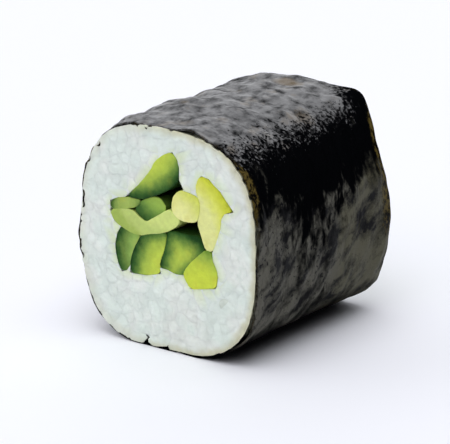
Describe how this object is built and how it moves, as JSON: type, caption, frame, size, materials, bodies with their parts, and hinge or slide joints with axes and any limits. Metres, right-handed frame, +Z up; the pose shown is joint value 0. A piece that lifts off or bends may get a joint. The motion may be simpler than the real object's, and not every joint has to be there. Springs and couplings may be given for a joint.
{
  "type": "cucumber maki roll",
  "caption": "Cut piece of sushi roll: a seaweed sheet wrapped round pressed rice, with cucumber sticks running through it from cut to cut.",
  "frame": {"origin": "centre of the bounding box's bottom, on the surface that the roll rests on", "axes": "+Y runs along the roll from the shown cut, which faces -Y, to the far cut; +Z is up; +X is to the right as the shown cut is seen"},
  "size_m": [0.0383, 0.0397, 0.0401],
  "materials": {
    "seaweed": "semi-gloss wrinkled dried seaweed, nearly black with a green-brown tint",
    "rice": "moist cooked rice, cool white, slightly translucent",
    "cucumber_skin": "wet cut cucumber with dark green skin edges",
    "cucumber_flesh": "wet cut cucumber, light yellow-green",
    "cucumber_core": "wet cut cucumber core, pale yellow"
  },
  "bodies": {
    "root": {"nori_sheet": "seaweed", "rice": "rice", "cucumber_top_wedge": "cucumber_skin", "cucumber_left_sliver": "cucumber_skin", "cucumber_middle_nub": "cucumber_skin", "cucumber_pale_bow": "cucumber_flesh", "cucumber_core_lobe": "cucumber_core", "cucumber_core_spike": "cucumber_core", "cucumber_skin_left": "cucumber_skin", "cucumber_skin_middle": "cucumber_skin", "cucumber_skin_right": "cucumber_skin", "cucumber_corner": "cucumber_flesh"}
  },
  "joints": []
}
